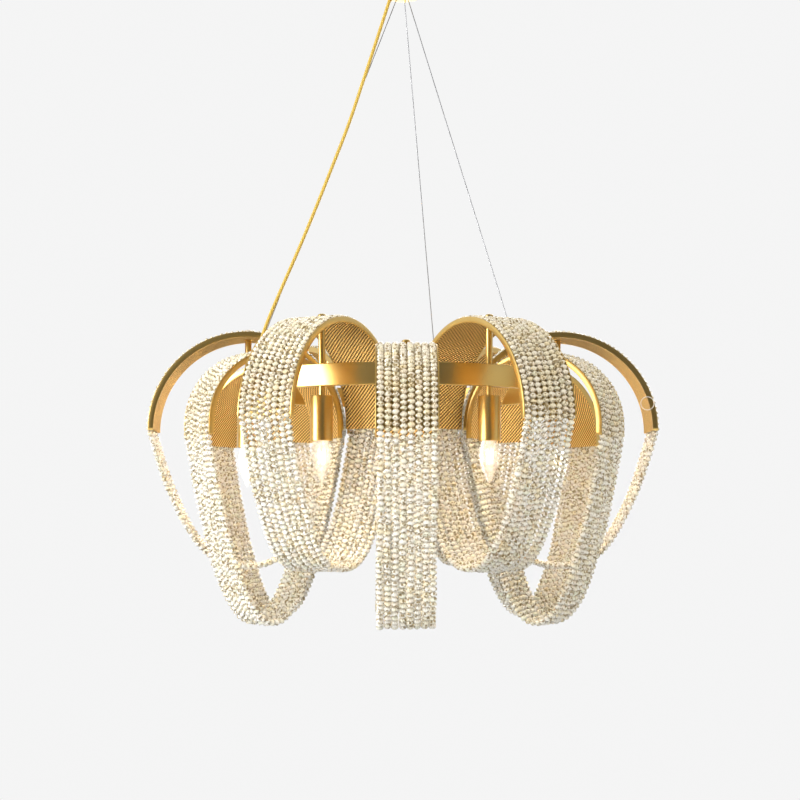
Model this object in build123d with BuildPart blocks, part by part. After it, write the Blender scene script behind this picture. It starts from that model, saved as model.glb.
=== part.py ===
"""Ring chandelier: twelve bent strip arches on a flat ring, each draped with eight strands of
crystal beads, hung from a ceiling canopy by three steel wires that meet at a turning hub.

Millimetres. The origin is the middle of the ceiling face, +Z is up and the lamp hangs below it.
Unit 0 points along -Y; the units follow every 30 degrees towards +X, low and high in turn.
"""
import os
from math import cos, pi, radians, sin, tan

from build123d import *

# ---------------------------------------------------------------- driving dimensions
# Ring and units
RING_DROP = 713.5        # ceiling to the middle of the ring's band
RING_RADIUS = 250.0      # middle of the ring's band
RING_HEIGHT = 33.5
RING_WALL = 12.0         # radial thickness of the closed rectangular tube
UNITS = 12               # arches round the ring, low and high in turn

# Arches: strip bent to half a circle over the ring, with an upstand along each edge
STRIP_THICK = 2.0
UPSTAND = 9.0            # full height of the edge upstands, strip included
ARCH_DROP = 70.5         # ring's middle down to the centre of both half circles
HIGH_RADIUS = 155.0      # half circle at the top of the upstands
LOW_RADIUS = 113.0
HIGH_LEG = 2.0           # straight ends below the half circle
LOW_LEG = 18.0

# Bead curtains
BEAD = 10.0
STRANDS = 8
STRAND_PITCH = 10.9
SEAT_GAP = 0.3           # beads to the strip, and other soft seats
SIDE_GAP = 0.35          # outer strands to the upstands
HIGH_SAG = 215.0         # strip ends down to the lowest bead centres
LOW_SAG = 282.0
HIGH_FULLNESS = 2.5      # power of the hanging curve: 2 is a parabola, more is a fuller loop
LOW_FULLNESS = 2.1
ARC_RUNS = 12            # even, so that a run of strip and beads lies level at the top
HANG_RUNS = 14           # straight runs in the free loop

# Flats in place of a full circle, on pieces that repeat round the ring
FLATS = 10
SLEEVE_FLATS = 14
SMALL_FLATS = 8
CORD_FLATS = 8
HEX_FLATS = 6            # crimped ferrules and the finials' thin studs

# Rods, finials and lamps
ROD = 10.6
STUD = 4.4
STUD_HOLE = 6.4          # gap between the middle strands for the finial's stud
FINIAL = 13.0
FINIAL_RIM = 0.8
FINIAL_RISE = 3.2        # dome above its rim
NECK = 9.4
NECK_LENGTH = 14.0
SLEEVE = 34.0
SLEEVE_LENGTH = 67.5
SLEEVE_WALL = 1.2
HOLDER_GAP = 2.8         # small candle lampholder to the sleeve's inside
HOLDER_LENGTH = 53.0
CAP = 14.0               # bulb's screw cap
CAP_LENGTH = 23.0
CAP_GAP = 0.3
BULB = 34.0
BULB_SHOW = 63.0         # glass below the sleeve's mouth

# Suspension
HUB = 56.0
HUB_HEIGHT = 14.0
HUB_GAP = 16.0           # canopy's underside to the hub's top
WIRE = 1.5
WIRE_ANGLES = (45.0, 165.0, -75.0)    # round from -Y towards +X, midway between units
WIRE_HUB_RADIUS = 9.0
FERRULE = 4.4
FERRULE_LENGTH = 6.0
GRIPPER_BASE = 8.0
GRIPPER_BASE_HEIGHT = 7.0
GRIPPER = 6.4
GRIPPER_LENGTH = 20.0
CORD = 5.5
GLAND = 8.6
GLAND_BASE_HEIGHT = 6.0

# Power cord's route, hub to ring: (distance from the axis, height, angle round from -Y)
CORD_ROUTE = [
    (25.0, -80.0, -62.0),
    (47.0, -150.0, -68.5),
    (70.0, -222.0, -72.0),
    (93.0, -292.0, -72.2),
    (120.5, -361.0, -71.3),
    (147.5, -430.0, -71.7),
    (175.8, -498.0, -71.2),
    (205.3, -566.0, -71.8),
    (231.5, -627.0, -71.5),
    (249.0, -681.5, -71.8),
]

# Canopy, ceiling bracket and the two-pin link inside it
CANOPY = 120.0
CANOPY_HEIGHT = 41.2
CANOPY_WALL = 1.2
CANOPY_HOLE = 48.0
EAR_GAP = 1.3            # strap's ears to the canopy's inside
STRAP_WIDTH = 22.0
STRAP_THICK = 2.5
SLOT_SPACING = 70.0
SLOT_LENGTH = 16.0
SLOT_WIDTH = 5.0
EAR_HEIGHT = 14.0
SCREW = 4.0
SCREW_HEAD = 7.0
SCREW_HEAD_HEIGHT = 2.4
SCREW_DROP = 8.0
SCREW_GAP = 0.1
SCREW_PAST = 1.0         # screw past the ear's inner face
PIN = 5.0
PIN_END = 2.0            # pin past each cheek
PIN_GAP = 0.05           # running gap round pins and the stem
UPPER_PIN_DROP = 14.0
PIN_SPACING = 18.0
LINK_WIDTH = 10.0
LINK_END = 6.0           # metal past each pin
CHEEK = 3.0
CHEEK_GAP = 0.5
CHEEK_WIDTH = 14.0
CHEEK_CUT = 4.0
CLEVIS_BASE = 4.0
CLEVIS_DEPTH = 9.0       # lower pin down to the clevis's floor
STEM = 8.0
STEM_BORE = 5.0
COLLAR = 13.0
COLLAR_HEIGHT = 3.0
TURN_GAP = 0.3
TERMINALS = (13.0, 28.0, 13.0)
TERMINAL_GAP = 2.0       # bracket's cheek to the terminals

# ---------------------------------------------------------------- worked-out places
RING_MID = -RING_DROP
RING_TOP = RING_MID + RING_HEIGHT / 2
RING_BOTTOM = RING_MID - RING_HEIGHT / 2
ARCH_Z = RING_MID - ARCH_DROP
BAND_WIDTH = (STRANDS - 1) * STRAND_PITCH + BEAD
STRIP_WIDTH = BAND_WIDTH + 2 * (SIDE_GAP + STRIP_THICK)
UNIT_STEP = 360 / UNITS
LOW_ANGLES = [2 * i * UNIT_STEP for i in range(UNITS // 2)]
HIGH_ANGLES = [(2 * i + 1) * UNIT_STEP for i in range(UNITS // 2)]
FRONT = -90.0            # +X turned by this points along -Y
HUB_TOP = -CANOPY_HEIGHT - HUB_GAP
HUB_BOTTOM = HUB_TOP - HUB_HEIGHT
UPPER_PIN_Z = -UPPER_PIN_DROP
LOWER_PIN_Z = UPPER_PIN_Z - PIN_SPACING
CHEEK_FACE = LINK_WIDTH / 2 + CHEEK_GAP
PIN_LENGTH = 2 * (CHEEK_FACE + CHEEK + PIN_END)
STRAP_LENGTH = CANOPY - 2 * (CANOPY_WALL + EAR_GAP)

os.makedirs("parts", exist_ok=True)


def place(radius, height, angle):
    """Point at a radius and height, at an angle round from -Y towards +X."""
    turn = radians(angle)
    return Vector(radius * sin(turn), -radius * cos(turn), height)


def round_the_ring(angles):
    """Places over the ring's band at evenly spaced unit angles."""
    return PolarLocations(RING_RADIUS, len(angles), start_angle=FRONT + angles[0])


def corners(sides):
    """Angles of a regular polygon's corners."""
    return [2 * pi * side / sides for side in range(sides)]


def turned(steps, sides):
    """Upright form of flat faces through (height, radius) rings, in place of full circles."""
    rings = [
        [Vector(radius * cos(turn), radius * sin(turn), height) for turn in corners(sides)]
        for height, radius in steps
    ]
    faces = [Face(Wire.make_polygon(ring)) for ring in (rings[0], rings[-1])]
    for low, high in zip(rings, rings[1:]):
        for side in range(sides):
            panel = (low[side - 1], low[side], high[side], high[side - 1])
            faces.append(Face(Wire.make_polygon(panel)))
    return Solid(Shell(faces))


def save(piece, name):
    """Label a finished piece and write it."""
    piece.part.label = name
    export_step(piece.part, f"parts/{name}.step")


# ---------------------------------------------------------------- ring
with BuildPart() as ring:
    with BuildSketch(Plane.XY.offset(RING_BOTTOM)):
        Circle(RING_RADIUS + RING_WALL / 2)
        Circle(RING_RADIUS - RING_WALL / 2, mode=Mode.SUBTRACT)
    extrude(amount=RING_HEIGHT)
save(ring, "ring")


# ---------------------------------------------------------------- arches
# A unit is drawn in the upright plane along +X. Its origin is over the axis of its rod.
UNIT_PLANE = Plane(origin=(0, 0, ARCH_Z), x_dir=(1, 0, 0), z_dir=(0, -1, 0))


def over_the_arch(radius):
    """Corners of the straight runs that touch a half circle from outside, left to right."""
    half_run = pi / ARC_RUNS / 2
    corner = radius / cos(half_run)
    turns = [(2 * i + 1) * half_run for i in range(ARC_RUNS)]
    return [(-corner * cos(turn), corner * sin(turn)) for turn in turns]


def arch_outline(radius, leg):
    """Half round over a rectangle as tall as the straight legs."""
    with BuildSketch(UNIT_PLANE) as outline:
        with BuildLine():
            Polyline((-radius, -leg), *over_the_arch(radius), (radius, -leg), close=True)
        make_face()
    return outline.sketch


def make_arch(radius, leg):
    """One arch: a bent strip with an upstand along each outer edge."""
    inside = STRIP_WIDTH / 2 - STRIP_THICK
    under_strip = radius - UPSTAND
    with BuildPart() as arch:
        extrude(arch_outline(radius, leg), amount=STRIP_WIDTH / 2, both=True)
        extrude(
            arch_outline(radius + STRIP_THICK, leg), amount=inside, both=True, mode=Mode.SUBTRACT
        )
        extrude(arch_outline(under_strip + STRIP_THICK, leg), amount=inside, both=True)
        extrude(
            arch_outline(under_strip, leg), amount=STRIP_WIDTH, both=True, mode=Mode.SUBTRACT
        )
    return arch.part


for name, radius, leg, angles in (
    ("arches_high", HIGH_RADIUS, HIGH_LEG, HIGH_ANGLES),
    ("arches_low", LOW_RADIUS, LOW_LEG, LOW_ANGLES),
):
    one_arch = make_arch(radius, leg)
    with BuildPart() as arches:
        with round_the_ring(angles):
            add(one_arch)
    save(arches, name)


# ---------------------------------------------------------------- bead curtains
def curtain_line(radius, leg, sag, fullness):
    """Closed line of bead centres in the unit's plane: over the arch, then the free loop.

    The loop's depth is sag * (1 - |x / half| ** fullness), at points x = half * cos(angle)
    of even angles.
    """
    half = radius - UPSTAND + STRIP_THICK + SEAT_GAP + BEAD / 2
    line = [(-half, -leg), *over_the_arch(half)]
    for i in range(HANG_RUNS):
        x = half * cos(pi * i / HANG_RUNS)
        line.append((x, -leg - sag * (1 - abs(x / half) ** fullness)))
    return line


def make_curtain(radius, leg, sag, fullness):
    """One closed band of strands, with the gap for the finial's stud at its top."""
    with BuildPart() as curtain:
        with BuildSketch(UNIT_PLANE):
            with BuildLine():
                Polyline(*curtain_line(radius, leg, sag, fullness), close=True)
            middle = make_face(mode=Mode.PRIVATE)
            offset(middle, amount=BEAD / 2, kind=Kind.INTERSECTION)
            offset(middle, amount=-BEAD / 2, kind=Kind.INTERSECTION, mode=Mode.SUBTRACT)
        extrude(amount=BAND_WIDTH / 2, both=True)
        with BuildSketch(Plane.XY.offset(ARCH_Z + radius)):
            Rectangle(STUD_HOLE, STUD_HOLE)
        extrude(amount=2 * BEAD, both=True, mode=Mode.SUBTRACT)
    return curtain.part


for kind, radius, leg, sag, fullness, angles in (
    ("high", HIGH_RADIUS, HIGH_LEG, HIGH_SAG, HIGH_FULLNESS, HIGH_ANGLES),
    ("low", LOW_RADIUS, LOW_LEG, LOW_SAG, LOW_FULLNESS, LOW_ANGLES),
):
    one_curtain = make_curtain(radius, leg, sag, fullness)
    for number, angle in enumerate(angles, 1):
        with BuildPart() as curtain:
            with Locations(Location(place(RING_RADIUS, 0, angle), (0, 0, FRONT + angle))):
                add(one_curtain)
        save(curtain, f"bead_curtain_{kind}_{number}")

# ---------------------------------------------------------------- rods and finials
for name, radius, angles in (
    ("rods_high", HIGH_RADIUS, HIGH_ANGLES),
    ("rods_low", LOW_RADIUS, LOW_ANGLES),
):
    rod_top = ARCH_Z + radius - UPSTAND - SEAT_GAP
    with BuildPart() as rods:
        with BuildSketch(Plane.XY.offset(RING_TOP)):
            with round_the_ring(angles):
                RegularPolygon(ROD / 2, FLATS)
        extrude(amount=rod_top - RING_TOP)
    save(rods, name)


def make_finial(strip_top):
    """A stud that stands on the strip at the middle of its arch, under a low dome."""
    seat = strip_top + SEAT_GAP + BEAD + SEAT_GAP
    rim = seat + FINIAL_RIM
    edge = FINIAL / 2
    with BuildPart() as finial:
        with BuildSketch(Plane.XY.offset(strip_top)):
            RegularPolygon(STUD / 2, HEX_FLATS)
        extrude(amount=seat - strip_top)
        add(turned(
            [(seat, edge), (rim, edge), (rim + 0.7 * FINIAL_RISE, 0.7 * edge),
             (rim + FINIAL_RISE, 0.3 * edge)],
            SMALL_FLATS,
        ))
    return finial.part


with BuildPart() as finials:
    for radius, angles in ((HIGH_RADIUS, HIGH_ANGLES), (LOW_RADIUS, LOW_ANGLES)):
        one_finial = make_finial(ARCH_Z + radius - UPSTAND + STRIP_THICK)
        with round_the_ring(angles):
            add(one_finial)
save(finials, "finials")


# ---------------------------------------------------------------- lamps under the high units
SLEEVE_TOP = RING_BOTTOM - NECK_LENGTH
SLEEVE_MOUTH = SLEEVE_TOP - SLEEVE_LENGTH
HOLDER = SLEEVE - 2 * (SLEEVE_WALL + HOLDER_GAP)
HOLDER_TOP = SLEEVE_TOP - SLEEVE_WALL
HOLDER_MOUTH = HOLDER_TOP - HOLDER_LENGTH
BULB_TIP = SLEEVE_MOUTH - BULB_SHOW

with BuildPart() as lamp_sleeves:
    with BuildSketch(Plane.XY.offset(SLEEVE_TOP)):
        with round_the_ring(HIGH_ANGLES):
            RegularPolygon(NECK / 2, FLATS)
    extrude(amount=NECK_LENGTH)
    with BuildSketch(Plane.XY.offset(SLEEVE_MOUTH)):
        with round_the_ring(HIGH_ANGLES):
            RegularPolygon(SLEEVE / 2, SLEEVE_FLATS)
    extrude(amount=SLEEVE_LENGTH)
    with BuildSketch(Plane.XY.offset(SLEEVE_MOUTH)):
        with round_the_ring(HIGH_ANGLES):
            RegularPolygon(SLEEVE / 2 - SLEEVE_WALL, SLEEVE_FLATS)
    extrude(amount=SLEEVE_LENGTH - SLEEVE_WALL, mode=Mode.SUBTRACT)
save(lamp_sleeves, "lamp_sleeves")

with BuildPart() as lampholders:
    with BuildSketch(Plane.XY.offset(HOLDER_MOUTH)):
        with round_the_ring(HIGH_ANGLES):
            RegularPolygon(HOLDER / 2, FLATS)
    extrude(amount=HOLDER_LENGTH)
    with BuildSketch(Plane.XY.offset(HOLDER_MOUTH)):
        with round_the_ring(HIGH_ANGLES):
            RegularPolygon(CAP / 2 + CAP_GAP, FLATS)
    extrude(amount=CAP_LENGTH, mode=Mode.SUBTRACT)
save(lampholders, "lampholders")


def make_bulb():
    """Candle bulb pointing down: screw cap, shoulder, widest girth and drawn-out tip."""
    girth = BULB / 2
    length = HOLDER_MOUTH - BULB_TIP
    outline = (
        (1.00, 0.10 * girth), (0.76, 0.68 * girth), (0.48, girth), (0.24, 0.83 * girth),
        (0.00, CAP / 2),
    )
    steps = [(HOLDER_MOUTH - part * length, radius) for part, radius in outline]
    with BuildPart() as bulb:
        add(turned(steps, FLATS))
        with BuildSketch(Plane.XY.offset(HOLDER_MOUTH)):
            RegularPolygon(CAP / 2, FLATS)
        extrude(amount=CAP_LENGTH)
    return bulb.part


one_bulb = make_bulb()
with BuildPart() as bulbs:
    with round_the_ring(HIGH_ANGLES):
        add(one_bulb)
save(bulbs, "bulbs")

# ---------------------------------------------------------------- hub, wires and grippers
# Each wire: its line's foot in the gripper, its head at the hub's underside, its direction.
wires = []
for angle in WIRE_ANGLES:
    foot = place(RING_RADIUS, RING_TOP + GRIPPER_BASE_HEIGHT / 2, angle)
    head = place(WIRE_HUB_RADIUS, HUB_BOTTOM, angle)
    wires.append((foot, head, (head - foot).normalized()))

cord_points = [place(*point) for point in CORD_ROUTE]
cord_head_way = (cord_points[0] - cord_points[1]).normalized()
cord_foot_way = (cord_points[-1] - cord_points[-2]).normalized()

with BuildPart() as wire_hub:
    with BuildSketch(Plane.XY.offset(HUB_BOTTOM)):
        Circle(HUB / 2)
        Circle(STEM / 2 + PIN_GAP, mode=Mode.SUBTRACT)
    extrude(amount=HUB_HEIGHT)
save(wire_hub, "wire_hub")

for number, (foot, head, up) in enumerate(wires, 1):
    start = foot + up * GRIPPER_LENGTH
    end = head - up * FERRULE_LENGTH
    with BuildPart() as wire:
        with BuildSketch(Plane(origin=start, z_dir=up)):
            Circle(WIRE / 2)
        extrude(amount=(end - start).length)
    save(wire, f"suspension_wire_{number}")

with BuildPart() as wire_fittings:
    for foot, head, up in wires:
        with BuildSketch(Plane(origin=head - up * FERRULE_LENGTH, z_dir=up)):
            RegularPolygon(FERRULE / 2, HEX_FLATS)
        extrude(amount=FERRULE_LENGTH + FERRULE)
    split(bisect_by=Plane.XY.offset(HUB_BOTTOM), keep=Keep.BOTTOM)
    for foot, head, up in wires:
        with BuildSketch(Plane(origin=(foot.X, foot.Y, RING_TOP))):
            RegularPolygon(GRIPPER_BASE / 2, FLATS)
        extrude(amount=GRIPPER_BASE_HEIGHT)
        with BuildSketch(Plane(origin=foot, z_dir=up)):
            RegularPolygon(GRIPPER / 2, FLATS)
        extrude(amount=GRIPPER_LENGTH)
save(wire_fittings, "wire_fittings")

# ---------------------------------------------------------------- power cord and its glands
gland_drop = cord_points[-1].Z - RING_TOP - GLAND_BASE_HEIGHT / 2
gland_foot = cord_points[-1] + cord_foot_way * (gland_drop / -cord_foot_way.Z)
hub_reach = (HUB_BOTTOM + GLAND - cord_points[0].Z) / cord_head_way.Z
with BuildPart() as cord_glands:
    with BuildSketch(Plane(origin=cord_points[0], z_dir=cord_head_way)):
        Circle(GLAND / 2)
    extrude(amount=hub_reach)
    split(bisect_by=Plane.XY.offset(HUB_BOTTOM), keep=Keep.BOTTOM)
    with BuildSketch(Plane(origin=gland_foot, z_dir=-cord_foot_way)):
        Circle(GLAND / 2)
    extrude(amount=(cord_points[-1] - gland_foot).length)
    with BuildSketch(Plane(origin=(gland_foot.X, gland_foot.Y, RING_TOP))):
        Circle(GLAND / 2)
    extrude(amount=GLAND_BASE_HEIGHT)
save(cord_glands, "cord_glands")

cord_runs = [(b - a).length for a, b in zip(cord_points, cord_points[1:])]
cord_turns = [
    radians((b - a).get_angle(c - b))
    for a, b, c in zip(cord_points, cord_points[1:], cord_points[2:])
]
cord_radii = [
    0.45 * min(cord_runs[i], cord_runs[i + 1]) / tan(turn / 2)
    for i, turn in enumerate(cord_turns)
]
with BuildPart() as power_cord:
    with BuildLine() as cord_line:
        FilletPolyline(*cord_points, radius=cord_radii)
    with BuildSketch(Plane(origin=cord_points[0], z_dir=-cord_head_way)) as cord_section:
        RegularPolygon(CORD / 2, CORD_FLATS)
    sweep(path=cord_line.line)
save(power_cord, "power_cord")
cord_length = sum(edge.length for edge in cord_line.line.edges())
print("cord length", round(cord_length, 1), "radii", [round(r) for r in cord_radii])
cord_ratio = power_cord.part.volume / (cord_section.sketch.area * cord_length)
print("cord volume ratio", round(cord_ratio, 4))

# ---------------------------------------------------------------- ceiling bracket and canopy
def cheek_outline(pin_z, root_z, plane):
    """Flat cheek from its root to past a pin's eye, with cut corners and the pin's hole."""
    past = 1 if pin_z > root_z else -1
    end = pin_z + past * CHEEK_WIDTH / 2
    with BuildSketch(plane) as outline:
        with Locations((0, (root_z + end) / 2)):
            Rectangle(CHEEK_WIDTH, abs(end - root_z))
        chamfer(outline.vertices().group_by(Axis.Z)[-1 if past > 0 else 0], CHEEK_CUT)
        with Locations((0, pin_z)):
            Circle(PIN / 2 + PIN_GAP, mode=Mode.SUBTRACT)
    return outline.sketch


with BuildPart() as ceiling_bracket:
    with BuildSketch(Plane.XY.offset(-STRAP_THICK)):
        Rectangle(STRAP_LENGTH, STRAP_WIDTH)
        with GridLocations(SLOT_SPACING, 0, 2, 1):
            SlotOverall(SLOT_LENGTH, SLOT_WIDTH, mode=Mode.SUBTRACT)
    extrude(amount=STRAP_THICK)
    with BuildSketch(Plane.XY.offset(-EAR_HEIGHT)):
        with GridLocations(STRAP_LENGTH - STRAP_THICK, 0, 2, 1):
            Rectangle(STRAP_THICK, STRAP_WIDTH)
    extrude(amount=EAR_HEIGHT)
    with BuildSketch(Plane.YZ):
        with Locations((0, -SCREW_DROP)):
            Circle(SCREW / 2 + SCREW_GAP)
    extrude(amount=CANOPY, both=True, mode=Mode.SUBTRACT)
    for face in (CHEEK_FACE, -CHEEK_FACE - CHEEK):
        extrude(cheek_outline(UPPER_PIN_Z, -STRAP_THICK, Plane.YZ.offset(face)), amount=CHEEK)
save(ceiling_bracket, "ceiling_bracket")

with BuildPart() as canopy:
    with BuildSketch(Plane.XY.offset(-CANOPY_HEIGHT)):
        Circle(CANOPY / 2)
    extrude(amount=CANOPY_HEIGHT)
    with BuildSketch(Plane.XY.offset(-CANOPY_HEIGHT + CANOPY_WALL)):
        Circle(CANOPY / 2 - CANOPY_WALL)
    extrude(amount=CANOPY_HEIGHT, mode=Mode.SUBTRACT)
    with BuildSketch(Plane.XY.offset(-CANOPY_HEIGHT)):
        Circle(CANOPY_HOLE / 2)
    extrude(amount=CANOPY_WALL, mode=Mode.SUBTRACT)
    with BuildSketch(Plane.YZ):
        with Locations((0, -SCREW_DROP)):
            Circle(SCREW / 2 + SCREW_GAP)
    extrude(amount=CANOPY, both=True, mode=Mode.SUBTRACT)
save(canopy, "canopy")

with BuildPart() as canopy_screws:
    for side in (1, -1):
        with BuildSketch(Plane.YZ.offset(side * CANOPY / 2)):
            with Locations((0, -SCREW_DROP)):
                RegularPolygon(SCREW_HEAD / 2, 6)
        extrude(amount=side * SCREW_HEAD_HEIGHT)
        with BuildSketch(Plane.YZ.offset(side * CANOPY / 2)):
            with Locations((0, -SCREW_DROP)):
                Circle(SCREW / 2)
        extrude(amount=-side * (CANOPY / 2 - STRAP_LENGTH / 2 + STRAP_THICK + SCREW_PAST))
save(canopy_screws, "canopy_screws")

with BuildPart() as terminal_block:
    with BuildSketch(Plane.XY.offset(-STRAP_THICK)):
        with Locations((CHEEK_FACE + CHEEK + TERMINAL_GAP + TERMINALS[0] / 2, 0)):
            Rectangle(TERMINALS[0], TERMINALS[1])
    extrude(amount=-TERMINALS[2])
save(terminal_block, "terminal_block")


def make_pin(plane):
    """Plain pin, half of its length each side of the lamp's axis."""
    with BuildPart() as pin:
        with BuildSketch(plane):
            Circle(PIN / 2)
        extrude(amount=PIN_LENGTH / 2, both=True)
    return pin


save(make_pin(Plane(origin=(0, 0, UPPER_PIN_Z), z_dir=(1, 0, 0))), "upper_pin")
save(make_pin(Plane(origin=(0, 0, LOWER_PIN_Z), z_dir=(0, 1, 0))), "lower_pin")

with BuildPart() as hanger_link:
    with BuildSketch(Plane.XY.offset(LOWER_PIN_Z - LINK_END)):
        Rectangle(LINK_WIDTH, LINK_WIDTH)
    extrude(amount=PIN_SPACING + 2 * LINK_END)
    for height, way in ((UPPER_PIN_Z, (1, 0, 0)), (LOWER_PIN_Z, (0, 1, 0))):
        with BuildSketch(Plane(origin=(0, 0, height), z_dir=way)):
            Circle(PIN / 2 + PIN_GAP)
        extrude(amount=LINK_WIDTH, both=True, mode=Mode.SUBTRACT)
save(hanger_link, "hanger_link")

CLEVIS_FLOOR = LOWER_PIN_Z - CLEVIS_DEPTH
COLLAR_TOP = HUB_BOTTOM - TURN_GAP    # the hub rests on the collar
with BuildPart() as swivel_stem:
    for face in (CHEEK_FACE, -CHEEK_FACE - CHEEK):
        extrude(cheek_outline(LOWER_PIN_Z, CLEVIS_FLOOR, Plane.XZ.offset(face)), amount=CHEEK)
    with BuildSketch(Plane.XY.offset(CLEVIS_FLOOR)):
        Rectangle(CHEEK_WIDTH, 2 * (CHEEK_FACE + CHEEK))
    extrude(amount=-CLEVIS_BASE)
    with BuildSketch(Plane.XY.offset(COLLAR_TOP)):
        Circle(STEM / 2)
    extrude(amount=CLEVIS_FLOOR - COLLAR_TOP)
    with BuildSketch(Plane.XY.offset(COLLAR_TOP)):
        Circle(COLLAR / 2)
    extrude(amount=-COLLAR_HEIGHT)
    with BuildSketch(Plane.XY.offset(CLEVIS_FLOOR)):
        Circle(STEM_BORE / 2)
    extrude(amount=COLLAR_TOP - COLLAR_HEIGHT - CLEVIS_FLOOR, mode=Mode.SUBTRACT)
save(swivel_stem, "swivel_stem")
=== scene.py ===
"""Ring chandelier: gold strip arches on a flat ring, draped with loops of crystal beads.

Metres, in the frame of the CAD model: the ceiling is z = 0 and the lamp hangs below it.
A unit is one arch with its loop of beads. A unit's angle turns from -Y, the side the camera
is on, towards +X.
"""
from collections import namedtuple
from math import cos, pi, radians, sin

import bpy
import numpy as np
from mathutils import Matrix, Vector


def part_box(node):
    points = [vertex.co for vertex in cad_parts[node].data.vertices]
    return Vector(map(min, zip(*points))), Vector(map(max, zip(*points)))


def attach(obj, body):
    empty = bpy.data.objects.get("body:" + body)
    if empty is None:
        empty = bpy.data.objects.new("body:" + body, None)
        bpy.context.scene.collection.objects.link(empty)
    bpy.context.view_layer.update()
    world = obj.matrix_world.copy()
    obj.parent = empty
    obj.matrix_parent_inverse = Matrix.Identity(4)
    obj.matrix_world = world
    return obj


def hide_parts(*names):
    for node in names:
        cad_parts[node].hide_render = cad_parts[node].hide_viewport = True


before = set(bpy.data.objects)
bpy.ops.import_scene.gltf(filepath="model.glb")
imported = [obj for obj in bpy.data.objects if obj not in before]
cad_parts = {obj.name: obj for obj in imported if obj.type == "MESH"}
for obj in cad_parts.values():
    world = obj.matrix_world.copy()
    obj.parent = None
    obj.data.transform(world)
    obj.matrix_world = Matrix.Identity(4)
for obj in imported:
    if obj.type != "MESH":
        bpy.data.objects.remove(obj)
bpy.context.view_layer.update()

# ---------------------------------------------------------------- sizes and places
MM = 0.001
ring_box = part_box("ring")
RING_OUTSIDE = ring_box[1][0]
RING_TOP = ring_box[1][2]
RING_BOTTOM = ring_box[0][2]
RING_WALL = 12 * MM
RING_RADIUS = RING_OUTSIDE - RING_WALL / 2
RING_ROUND = 1.2 * MM
RING_SIDES = 160

Unit = namedtuple("Unit", "radius leg sag fullness angles")
UNITS = {
    # radius at the top of the upstands, straight leg, sag of the loop, its fullness, angles
    "high": Unit(155 * MM, 2 * MM, 215 * MM, 2.5, [30 + 60 * i for i in range(6)]),
    "low": Unit(113 * MM, 18 * MM, 282 * MM, 2.1, [60 * i for i in range(6)]),
}
LAMP_ANGLES = UNITS["high"].angles

ARCH_Z = -784 * MM           # centre of every half circle
ARCH_STATIONS = 97
STRIP_WIDTH = 91 * MM
EDGE_THICK = 2 * MM
EDGE_ROUND = 0.5 * MM
UPSTAND = 9 * MM
WEB_THICK = 1.2 * MM
WEB_LIFT = 0.4 * MM          # keeps the web clear of the upstands' lower edges

BEAD = 10 * MM
BEAD_PITCH = 8.3 * MM        # along a strand
STRANDS = 8
STRAND_PITCH = 10.9 * MM
SEAT_GAP = 0.3 * MM
BEAD_SIDES = 9
BEAD_WIDE, BEAD_DEEP = 1.085, 0.95    # a bead's breadth over the strip and its depth, as shares
# Cut bead: radius and height on its thread, as shares of half its size, and turn in half steps
BEAD_RINGS = np.array(((0.42, -0.82, 0), (1.0, -0.22, 1), (1.0, 0.22, 0), (0.42, 0.82, 1)))
BEAD_SPREAD = 0.12           # range of the beads' sizes, as a share
SWAY = 0.8 * MM              # how far a free strand wanders to the side
SINK = 0.5 * MM              # and square to its loop
SWAY_ONSET = 120 * MM        # below the strip, where it wanders in full
PARTING = 1.7 * MM           # how far the middle strands give way to a finial's stud
PARTING_REACH = 9 * MM       # and over what length

ROD = 10.6 * MM
STUD = 4.4 * MM
FINIAL = 13 * MM
FINIAL_EDGE = 0.3 * MM
FINIAL_RIM = 0.8 * MM
FINIAL_RISE = 3.2 * MM
LOOP_SIZE = 21 * MM
LOOP_WIRE = 1.1 * MM
LOOP_PLACE = np.array((138, 0, 41)) * MM     # from the middle of its arch

NECK = 9.4 * MM
NECK_LENGTH = 14 * MM
SLEEVE = 34 * MM
SLEEVE_LENGTH = 67.5 * MM
SLEEVE_WALL = 1.2 * MM
SLEEVE_ROUND = 1.2 * MM
SLEEVE_TOP = RING_BOTTOM - NECK_LENGTH
SLEEVE_MOUTH = SLEEVE_TOP - SLEEVE_LENGTH
HOLDER = 26 * MM
HOLDER_ROUND = 1 * MM
HOLDER_TOP = SLEEVE_TOP - SLEEVE_WALL
HOLDER_MOUTH = HOLDER_TOP - 53 * MM
CAP = 14 * MM
CAP_GAP = 0.3 * MM
CAP_LENGTH = 23 * MM
CAP_THREAD = 3.0 * MM
CAP_THREAD_DEPTH = 0.4 * MM
BULB = 34 * MM
BULB_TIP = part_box("bulbs")[0][2]
BULB_LENGTH = HOLDER_MOUTH - BULB_TIP
# Glass of the bulb: share of its length from the cap to the tip, and share of its girth there
GLASS_LENGTHS = (0, 0.08, 0.2, 0.34, 0.46, 0.6, 0.74, 0.86, 0.94, 0.985, 1)
GLASS_GIRTHS = (0.42, 0.52, 0.78, 0.96, 1.0, 0.92, 0.70, 0.42, 0.24, 0.13, 0.0)
GLOW_HEIGHT = HOLDER_MOUTH - 0.48 * BULB_LENGTH
GLOW_WATTS = 1.6
GLOW_COLOUR = (1.0, 0.79, 0.52)
GLOW_RADIUS = 9 * MM
HAIRPINS = 6
HAIRPIN_REACH = 11 * MM      # up and down from the middle of the filament
FILAMENT_RADIUS = 4.5 * MM
FILAMENT_WIRE = 0.9 * MM

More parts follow.
